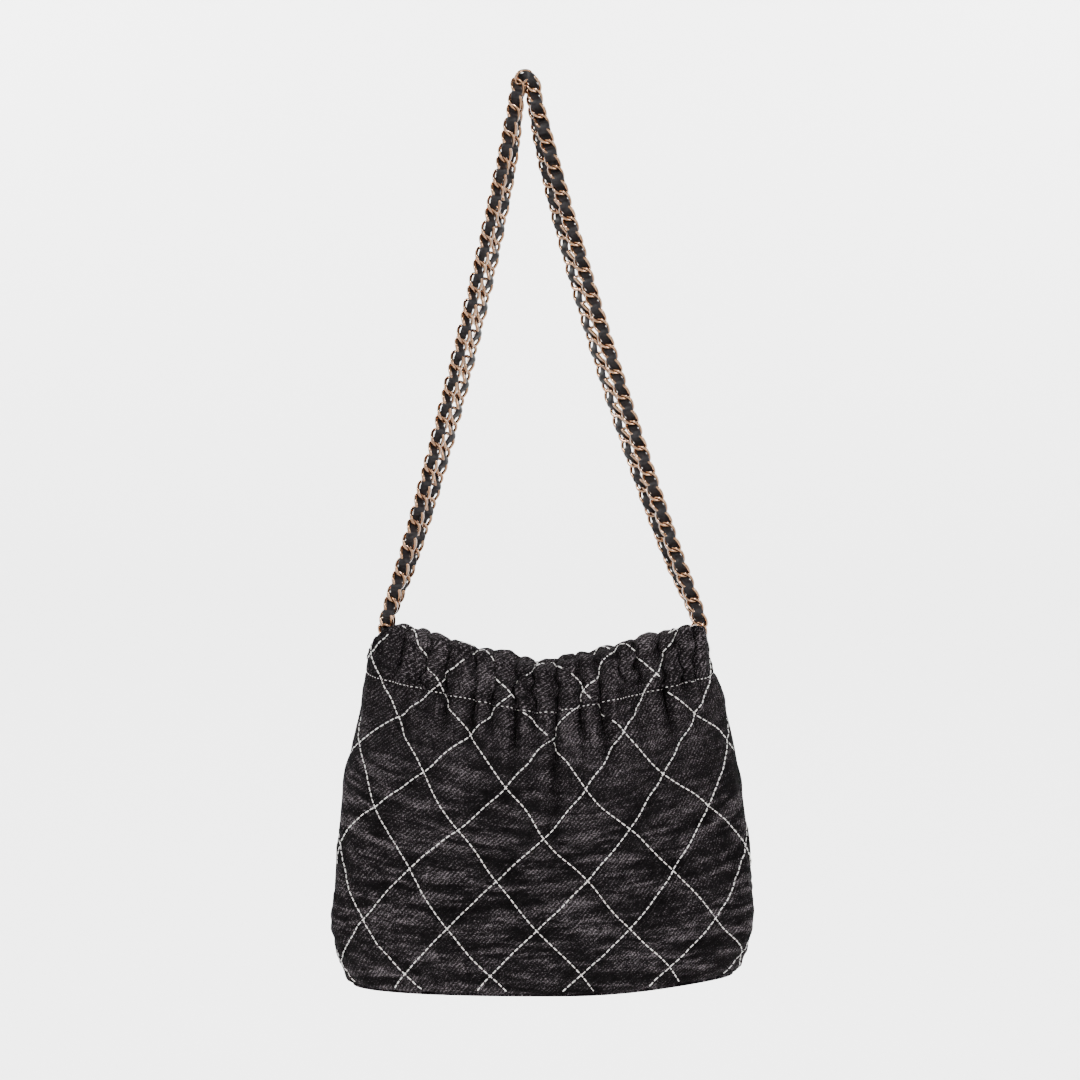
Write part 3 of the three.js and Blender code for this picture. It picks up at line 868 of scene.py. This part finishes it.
def place_stitches(name, start, end, normal, width):
    """One mesh of stitches, each a dash from start to end lying on the cloth."""
    shape, faces = stitch_shape()
    flatness = 0.75
    side = unit(np.cross(normal, unit(end - start)))
    up = np.cross(unit(end - start), side)
    points = along_axes(shape, end - start, side * width, up * width * flatness)
    points = points + ((start + end) / 2)[:, None]
    all_faces = [[k * len(shape) + i for i in face] for k in range(len(start)) for face in faces]
    points = points.reshape(-1, 3) * MM + ORIGIN
    declare(mixed_mesh(name, points.tolist(), all_faces, THREAD), "bag", "thread")


def dashes_on(line_s, line_t, pitch, dash, panel, lift):
    """Dashes along a line drawn on the flat cloth: their ends on the surface and its normals."""
    run = running(np.hypot(np.diff(line_s), np.diff(line_t)))

    def on_cloth(places, aside=0.0, above=0.0):
        s = np.interp(places, run, line_s) + aside
        t = np.interp(places, run, line_t) + above
        return cloth(s, t, panel)[0]

    starts = np.arange(pitch / 2, run[-1] - dash, pitch)
    ends = starts + dash
    middles = (starts + ends) / 2
    d = 0.8  # how far from a dash its surface's slope is taken
    across = on_cloth(middles, aside=d) - on_cloth(middles, aside=-d)
    up = on_cloth(middles, above=d) - on_cloth(middles, above=-d)
    normal = unit(np.cross(across, up))
    return on_cloth(starts) + normal * lift, on_cloth(ends) + normal * lift, normal


def sew(name, dashes, panel, width):
    start, end, normal = dashes
    normal = normal * (HALF_TURN if panel["back"] else 1.0)
    start, end = settled(start, panel), settled(end, panel)
    place_stitches(f"{panel['name']}_{name}", start, end, normal, width)


def quilt_stitches(panel):
    pitch, dash, width, lift = 3.9, 3.1, 0.78, 0.20
    longest = 4.2  # a dash that the gathers stretch past this is left out
    found = []
    for direction in (1, -1):
        for number in range(-9, 10):
            t = np.arange(-25.0, 262.0, 1.0)
            s = number * QUILT - direction * (t - QUILT_START) + QUILT_SKEW * (t - QUILT_LEVEL)
            across, up = drape(s, t)
            s, t = s + across, t + up
            inside = (t > 0.6) & (np.abs(s) < HALF_CLOTH - 2) & (t < path_end(s / HALF_CLOTH) - 1)
            if inside.sum() >= 8:
                found.append(dashes_on(s[inside], t[inside], pitch, dash, panel, lift))
    dashes = [np.concatenate(parts) for parts in zip(*found)]
    keep = np.linalg.norm(dashes[1] - dashes[0], axis=-1) < longest
    sew("quilting", [part[keep] for part in dashes], panel, width)


def casing_stitches(panel):
    pitch, dash, width, lift = 2.7, 1.25, 0.62, -0.02
    s = np.arange(-HALF_CLOTH + 3, HALF_CLOTH - 3, 1.0)
    dashes = dashes_on(s, seam(s / HALF_CLOTH), pitch, dash, panel, lift)
    sew("casing_seam", dashes, panel, width)


# ---- The inner pocket and the small sewn pieces ----
POUCH_GAP = 0.4  # between the lining and the pocket's back
POUCH_EDGE = 5.0  # how far in from its edges the pocket is rounded
POUCH_CLOTH = 0.5
ZIP_WINDOW = 4.0  # half the height of the pocket's opening behind the zip


def box_mm(node):
    """A CAD node's lowest and highest corners in the bag's frame, in millimetres."""
    return [(np.array(corner) - ORIGIN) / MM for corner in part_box(node)]


def make_pouch():
    """The zip pocket: a soft pouch whose back lies on the lining, open behind the zip."""
    low, high = box_mm("pocket_bag")
    zip_low = box_mm("zip_tape_lower")[0]
    zip_high = box_mm("zip_tape_upper")[1]
    window_half = (zip_high[0] - zip_low[0]) / 2 - 2
    window_middle = (zip_low[2] + zip_high[2]) / 2
    rows, columns = 59, 95
    z = np.linspace(low[2], high[2], rows)[:, None] + np.zeros(columns)
    aim = np.linspace(low[0] - 1.5, high[0] + 1.5, columns)
    shares = np.linspace(-1, 1, PLAN_X.shape[1])
    u = np.array([np.interp(aim, PLAN_X[int(round(level))], shares) for level in z[:, 0]])
    _, out = wall_axes(u, z)
    back = wall(u, z) - out * (LINING_DEPTH + LINING_THICKNESS + POUCH_GAP)
    back[..., 1] *= -1

    x = back[..., 0]
    zip_foot = 90  # height below which the pocket leans back, bellies and wrinkles
    lean = 4 * np.clip((zip_foot - z) / 60, 0, 1)
    belly = 1.3 * bell(x / 46) * bell((z - 62) / 22)
    wrinkles = 0.45 * waves(x, z, 41, 36, 22) * smooth((zip_foot - z) / 14)
    plane = low[1] + 0.1 + lean - belly + wrinkles
    edge = np.minimum(high[0] - np.abs(aim), np.minimum(z - low[2], high[2] - z))
    swell = np.sqrt(1 - (1 - np.clip(edge / POUCH_EDGE, 0, 1)) ** 2)
    front = back.copy()
    front[..., 1] = mix(back[..., 1], plane, swell)
    points = np.concatenate([front.reshape(-1, 3), back.reshape(-1, 3)])
    faces = grid_faces(rows, columns)
    middle = front.reshape(-1, 3)[faces].mean(axis=1)
    from_window = np.abs(middle[:, 2] - window_middle)
    window = (np.abs(middle[:, 0]) < window_half) & (from_window < ZIP_WINDOW)
    faces = np.concatenate([faces[~window], faces[:, ::-1] + rows * columns])
    pouch = make_mesh("pocket_pouch", points, faces, LINING)
    pouch.modifiers.new("edges", "WELD").merge_threshold = 0.02 * MM
    thicken(pouch, POUCH_CLOTH)
    declare(pouch, "bag", "lining", "pocket_bag")


def softened(name, node, body, edge, material, slot):
    """A small sewn piece with its CAD node's outline and rounded edges."""
    data = frame["nodes"][node].data.copy()
    data.materials.clear()
    made = add_object(name, data, material)
    round_edges(made, edge, 3)
    declare(made, body, slot, node)
    return made


def rim_stitches(name, centre, right, up, half_width, half_height):
    """A row of stitches round a rectangle, on its face towards right x up."""
    pitch, dash_share, width = 2.8, 0.7, 0.5
    corners = [(-1, -1), (1, -1), (1, 1), (-1, 1)]
    starts, ends = [], []
    for (ax, ay), (bx, by) in zip(corners, corners[1:] + corners[:1]):
        a = centre + right * half_width * ax + up * half_height * ay
        b = centre + right * half_width * bx + up * half_height * by
        count = max(round(np.linalg.norm(b - a) / pitch), 2)
        share = (np.arange(count) + (1 - dash_share) / 2)[:, None] / count
        starts.append(a + (b - a) * share)
        ends.append(a + (b - a) * (share + dash_share / count))
    start, end = np.concatenate(starts), np.concatenate(ends)
    place_stitches(name, start, end, np.broadcast_to(np.cross(right, up), start.shape), width)


def make_snap_patch(kind, right):
    """A snap's leather patch, sewn on near its edges. The patch leans with the wall."""
    patch = softened(f"snap_{kind}_leather", f"snap_{kind}_patch", "bag", 0.35, LEATHER, "leather")
    corners = (np.array([vertex.co for vertex in patch.data.vertices]) - ORIGIN) / MM
    middle = corners.mean(axis=0)
    above = corners[:, 2] > middle[2]
    up = unit(corners[above].mean(axis=0) - corners[~above].mean(axis=0))
    face, half_patch = np.cross(right, up) * 0.5, 9.6
    rim_stitches(f"snap_{kind}_stitches", middle + face, right, up, half_patch, half_patch)


def make_small_pieces():
    softened("pocket_binding_leather", "pocket_binding", "bag", 0.3, LEATHER, "leather")
    softened("zip_tape_upper_woven", "zip_tape_upper", "bag", 0.2, LINING, "lining")
    softened("zip_tape_lower_woven", "zip_tape_lower", "bag", 0.2, LINING, "lining")
    softened("zip_tab_leather", "zip_pull_tab", "zip_pull", 0.6, LEATHER, "leather")
    low, high = box_mm("pocket_binding")
    centre = (low + high) / 2
    centre[1] = low[1]
    half_width, _, half_height = (high - low) / 2 - 1.4
    right = np.array([1.0, 0.0, 0.0])
    rim_stitches("pocket_binding_stitches", centre, right, UP, half_width, half_height)
    make_snap_patch("socket", -right)
    make_snap_patch("stud", right)


def make_teeth(hand, shift):
    """One row of the zip's teeth, each a small rounded block that reaches over the gap."""
    low, high = box_mm(f"zip_teeth_{hand}")
    pitch, half_tooth = 2.0, 0.55
    along = np.arange(low[0] + 0.7 + shift, high[0] - 0.6, pitch)
    block = np.indices((2, 2, 2)).reshape(3, -1).T * 2.0 - 1
    sides = [[0, 1, 3, 2], [4, 6, 7, 5], [0, 4, 5, 1], [2, 3, 7, 6], [0, 2, 6, 4], [1, 5, 7, 3]]
    size = (high - low) / 2
    size[0] = half_tooth
    centres = np.broadcast_to((low + high) / 2, (len(along), 3)).copy()
    centres[:, 0] = along
    points = centres[:, None] + (block * size)[None]
    faces = repeated_faces(np.array(sides), len(along), len(block))
    teeth = make_mesh(f"zip_{hand}_tooth_row", points, faces, GOLD, smooth_shading=False)
    round_edges(teeth, 0.3, 2)
    declare(teeth, "bag", "gold", f"zip_teeth_{hand}")


# ---- Chains and laces ----
def joint_place(name):
    """A joint's point in the bag's frame, in millimetres."""
    joint = next(joint for joint in frame["joints"] if joint["name"] == name)
    return (np.array(joint["pos_m"]) - ORIGIN) / MM


EXIT_DEPTH = -joint_place("front_link_turn")[1]
EXIT_LOW_Z = joint_place("front_link_turn")[2]
EXIT_HIGH_Z = joint_place("front_strap_fold")[2]
EXIT_LOW_X, EXIT_HIGH_X = 98.0, 96.0
CASING_DEPTH = 7.75  # from the smooth wall in to the chain that the casing holds
CHAIN_BELOW_RIM = 10.0
APEX_X, APEX_DEPTH, APEX_RADIUS = -11.0, 3.7, 5.0  # where the straps hang over the hook
# Each strap's side of the bag, top, inward bow of its legs, the slow turn of its left and right
# legs about themselves in degrees, and the share of its length over which the lace lies flat
STRAPS = {
    "front": {"side": -1, "apex": 564.5, "sag": 4.0, "turns": (30.0, 5.0), "flat": (0.52, 0.61)},
    "back": {"side": 1, "apex": 559.5, "sag": 10.0, "turns": (62.0, 52.0), "flat": (0, 0)},
}


def curve_through(points, step=0.25):
    """A smooth curve through the points, as points an even length apart, and its length."""
    points = np.asarray(points, dtype=float)
    knots = running(np.linalg.norm(np.diff(points, axis=0), axis=1))
    found = smooth_curve(knots, points, np.linspace(0, knots[-1], int(knots[-1] / 0.1)))
    run = running(np.linalg.norm(np.diff(found, axis=0), axis=1))
    even = np.linspace(0, run[-1], max(int(run[-1] / step), 2))
    return np.stack([np.interp(even, run, found[:, j]) for j in range(3)], -1), run[-1]


def strap_route(strap):
    """From the left pivot up over the hook and down to the right pivot."""
    side = strap["side"]
    top_z = strap["apex"] - APEX_RADIUS

    def leg(hand):
        low = np.array([hand * EXIT_HIGH_X, side * EXIT_DEPTH, EXIT_HIGH_Z])
        high = np.array([APEX_X + hand * APEX_RADIUS, side * APEX_DEPTH, top_z - 2])
        along = high - low
        inward = unit(np.array([-hand * along[2], 0, hand * along[0]]))
        share = np.linspace(0, 1, 12)[:, None]
        bow = (4 * share * (1 - share)) ** 0.75
        return low + along * share + inward * (strap["sag"] * bow)

    top = []
    for degrees in (150, 90, 30):
        angle = math.radians(degrees)
        top.append([APEX_X + APEX_RADIUS * math.cos(angle), side * APEX_DEPTH,
                    top_z + APEX_RADIUS * math.sin(angle)])
    return curve_through(np.concatenate([leg(-1), top, leg(1)[::-1]]))


def casing_route(strap):
    """From the right exit's lower pivot through the casing to the left exit's lower pivot."""
    side = strap["side"]

    def way_in(hand):
        return [[hand * EXIT_LOW_X, side * EXIT_DEPTH, EXIT_LOW_Z],
                [hand * (EXIT_LOW_X - 1.8), side * EXIT_DEPTH, EXIT_LOW_Z - 7],
                [hand * (EXIT_LOW_X - 6.5), side * (EXIT_DEPTH + 0.8), EXIT_LOW_Z - 11.5]]

    u = np.linspace(0.55, -0.55, 9)
    z = crest(u) - CHAIN_BELOW_RIM
    _, out = wall_axes(u, z)
    inner = wall(u, z) - out * CASING_DEPTH
    inner[:, 1] *= -side
    return curve_through(np.concatenate([way_in(1), inner, way_in(-1)[::-1]]))


class Loop:
    """One whole chain: strap, right exit link, casing, left exit link, counted in links."""

    def __init__(self, strap):
        self.strap = strap
        over, over_length = strap_route(strap)
        under, under_length = casing_route(strap)
        self.strap_links = round(over_length / PITCH)
        casing_links = round(under_length / PITCH)
        casing_links += (self.strap_links + casing_links) % 2
        parts = (over, np.stack([over[-1], under[0]]), under, np.stack([under[-1], over[0]]))
        counts = (self.strap_links, 1, casing_links, 1)
        self.marks = np.cumsum((0,) + counts)
        self.count = int(self.marks[-1])
        self.flat = [share * self.strap_links for share in strap["flat"]]
        numbers = np.concatenate([start + links * np.linspace(0, 1, len(part))
                                  for start, links, part in zip(self.marks, counts, parts)])
        keep = np.concatenate([[True], np.diff(numbers) > 1e-9])
        self.numbers, self.points = numbers[keep], np.concatenate(parts)[keep]

    def at(self, number):
        number = np.mod(number, self.count)
        return np.stack([np.interp(number, self.numbers, self.points[:, j]) for j in range(3)], -1)

    def axes(self, number):
        """Tangent, width direction and face direction, with the strap's slow turn about itself."""
        tangent = unit(self.at(number + 0.35) - self.at(number - 0.35))
        front = np.array([0.0, -1.0, 0.0])
        face = unit(front - tangent * (tangent @ front)[..., None])
        number = np.mod(number, self.count)
        share = np.clip(number / self.strap_links, 0, 1)
        left, right = (math.radians(turn) for turn in self.strap["turns"])
        turn = np.where(share < 0.5, left, right) * np.abs(np.sin(2 * math.pi * share)) ** 0.8
        turn = np.where(number < self.strap_links, turn, 0)
        return tangent, *turned(np.cross(face, tangent), face, turn)


def turned(width, face, angle):
    """Two square axes, turned by the angle towards each other."""
    c, s = np.cos(angle)[..., None], np.sin(angle)[..., None]
    return width * c + face * s, face * c - width * s


def link_shape(around=30, sides=8):
    """A twisted oval link along X, as a closed tube."""
    angle = full_circle(around)
    half_length = PITCH / 2 + WIRE / 2 - 0.06  # each end hooks past the next link's and touches it
    half_width = (LINK_WIDTH - WIRE) / 2

    def centre(a):
        x = half_length * signed_power(np.cos(a), 0.92)
        y = half_width * np.sin(a)
        return np.stack([x + LINK_SLANT * y, y, LINK_TWIST * np.sin(2 * a)], -1)

    middle = centre(angle)
    tangent = unit(centre(angle + 0.02) - centre(angle - 0.02))
    outward = unit(middle * np.array([1, 1, 0]))
    outward = unit(outward - tangent * np.sum(outward * tangent, -1, keepdims=True))
    other = np.cross(tangent, outward)
    ring = full_circle(sides)[None, :, None]
    points = middle[:, None] + WIRE / 2 * (np.cos(ring) * outward[:, None]
                                           + np.sin(ring) * other[:, None])
    return points.reshape(-1, 3), grid_faces(around, sides, True, True)


def make_links(name, loop, start, end, body, node):
    """The links numbered from start up to end."""
    shape, faces = link_shape()
    numbers = np.arange(start, end)
    rock = LINK_ROCK * (1 - 2 * (numbers % 2))
    tangent, width, face = loop.axes(numbers + 0.5)
    points = along_axes(shape, tangent, *turned(width, face, rock))
    points = points + loop.at(numbers + 0.5)[:, None]
    all_faces = repeated_faces(faces, len(numbers), len(shape))
    declare(make_mesh(name, points, all_faces, GOLD), body, "gold", node)


def make_lace(name, loop, start, end):
    """The leather lace between two link numbers, passing over one junction and under the next."""
    steps, sides = max(int((end - start) * 9), 4), 22
    number = np.linspace(start, end, steps)
    swing = np.cos(math.pi * number)
    flat_start, flat_end = loop.flat
    flat = smooth(number - flat_start) * smooth(flat_end - number)
    swing = signed_power(swing, mix(0.8, 0.4, flat))
    tangent, width, face = loop.axes(number)
    middle = loop.at(number) + face * (LACE_SWING * swing)[:, None]
    over = np.abs(swing)
    pinched_width, pinched_thickness = 2.4, 0.8  # where the lace passes through a link, halved
    half_width = mix(pinched_width, LACE_WIDTH / 2, smooth(over * 1.35)) + 0.7 * flat * (swing > 0)
    half_thickness = mix(pinched_thickness, LACE_THICKNESS / 2, over) - 0.2 * flat
    angle = full_circle(sides)
    c = np.cos(angle)
    s = np.sin(angle) * (1 - 0.20 * (bell((c - 0.3) / 0.2) + bell((c + 0.4) / 0.2)))
    points = (middle[:, None] + width[:, None] * (half_width[:, None] * c[None])[..., None]
              + face[:, None] * (half_thickness[:, None] * s[None])[..., None])
    lace = make_mesh(name, points, grid_faces(steps, sides, closed_columns=True), LEATHER)
    close_rings(lace, sides, [0, (steps - 1) * sides], smooth_shading=True)
    return lace


def blend_at(lace):
    """Bakes a piece of lace's transform into its mesh; the lace is not bent about a pivot."""
    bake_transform(lace)


def make_chain(side_name):
    loop = Loop(STRAPS[side_name])
    strap_end, casing_start, casing_end, last = (int(m) for m in loop.marks[1:])
    strap_body, exit_body = f"{side_name}_strap", f"{side_name}_exit_links"
    for stretch, node, start, end, body in (
        ("strap_links", "strap_chain", 0, strap_end, strap_body),
        ("right_exit", "right_exit_link", strap_end, casing_start, exit_body),
        ("casing_links", "casing_chain", casing_start, casing_end, "bag"),
        ("left_exit", "left_exit_link", casing_end, last, exit_body),
    ):
        make_links(f"{side_name}_{stretch}", loop, start, end, body, f"{side_name}_{node}")

    reach = 0.75  # how far past a pivot the pieces of lace run, in links
    for node, start, end, body in (("strap_lace", 0, strap_end, strap_body),
                                   ("casing_lace", casing_start, casing_end, "bag")):
        lace = make_lace(f"{side_name}_{node}_woven", loop, start + reach, end - reach)
        declare(lace, body, "leather", f"{side_name}_{node}")
    for hand, high, low, way in (("left", last, casing_end, 1), ("right", strap_end, casing_start, -1)):
        half = (high + low) / 2
        lower = sorted([half + 0.02 * way, low - reach * way])
        upper = sorted([half - 0.02 * way, high + reach * way])
        lower_lace = make_lace(f"{side_name}_{hand}_lace_low", loop, *lower)
        upper_lace = make_lace(f"{side_name}_{hand}_lace_high", loop, *upper)
        blend_at(lower_lace)
        blend_at(upper_lace)


# ---- Build ----
for panel in (FRONT, BACK):
    make_panel(panel)
    make_wadding(panel)
    make_lining(panel)
    quilt_stitches(panel)
    casing_stitches(panel)
    make_chain(panel["name"])

make_pouch()
make_small_pieces()
make_teeth("upper", 0.0)
make_teeth("lower", 1.0)
make_base_sheet("base_cloth", "base_panel", 0.15, 3.4, DENIM_BASE, "denim", 1.2)
make_base_sheet("base_stiffener", "base_board", 2.2, 4.5, BOARD, "board", 1.8)
make_base_sheet("base_lining_cloth", "base_lining", 5.2, 6.5, LINING, "lining", 0.6)


# ---- Carried-over CAD nodes ----
NODE_MATERIALS = {"gold": GOLD, "leather": LEATHER, "lining": LINING, "steel": STEEL}
for part in frame["record"]["subparts"]:
    node = frame["nodes"].get(part["node"])
    if node is not None and part["material_slot"] in NODE_MATERIALS:
        for material_slot in node.material_slots:
            material_slot.material = NODE_MATERIALS[part["material_slot"]]


# ---- Floor, backdrop and light ----
def make_stage():
    """A pale floor that curves up all round into a wall, open above."""
    floor_z, floor_radius, bend, height = FLOOR_Z - 0.42, 2.0, 0.6, 2.6
    profile = [(0.02, floor_z), (1.0, floor_z), (floor_radius, floor_z)]
    for degrees in range(10, 91, 10):
        angle = math.radians(degrees)
        profile.append((floor_radius + bend * math.sin(angle), floor_z + bend * (1 - math.cos(angle))))
    profile.append((floor_radius + bend, floor_z + height))
    angle = full_circle(72)
    points = [(r * math.cos(a) + MIDDLE_X, r * math.sin(a), z) for r, z in profile for a in angle]
    faces = grid_faces(len(profile), len(angle), closed_columns=True).tolist()
    faces.append(list(range(len(angle))))
    paper = Nodes("backdrop").set(colour=(0.82, 0.82, 0.82, 1), roughness=0.95, specular=0.05)
    mixed_mesh("backdrop", points, faces, paper)


def area_light(name, place, target, size, power):
    data = bpy.data.lights.new(name, "AREA")
    data.shape = "RECTANGLE"
    data.size, data.size_y = size
    data.energy = power
    light = add_object(name, data)
    light.location = place
    direction = Vector(np.array(target) - np.array(place))
    light.rotation_euler = direction.to_track_quat("-Z", "Y").to_euler()


def light_scene():
    world = bpy.data.worlds.new("studio")
    bpy.context.scene.world = world
    world.use_nodes = True
    background = world.node_tree.nodes["Background"]
    background.inputs["Color"].default_value = (1, 1, 1, 1)
    background.inputs["Strength"].default_value = 0.42
    middle = (MIDDLE_X, 0, FLOOR_Z + 0.2)
    area_light("key", (-0.9, -1.6, 1.1), middle, (0.38, 0.32), 54)
    area_light("fill", (1.5, -1.4, 0.3), middle, (0.22, 0.7), 22)
    for hand in (-1, 1):
        area_light(f"backdrop_{hand}", (hand * 1.1, 1.1, 1.3), (hand * 0.35, 2.6, -0.5), (1.2, 0.8), 128)


make_stage()
light_scene()
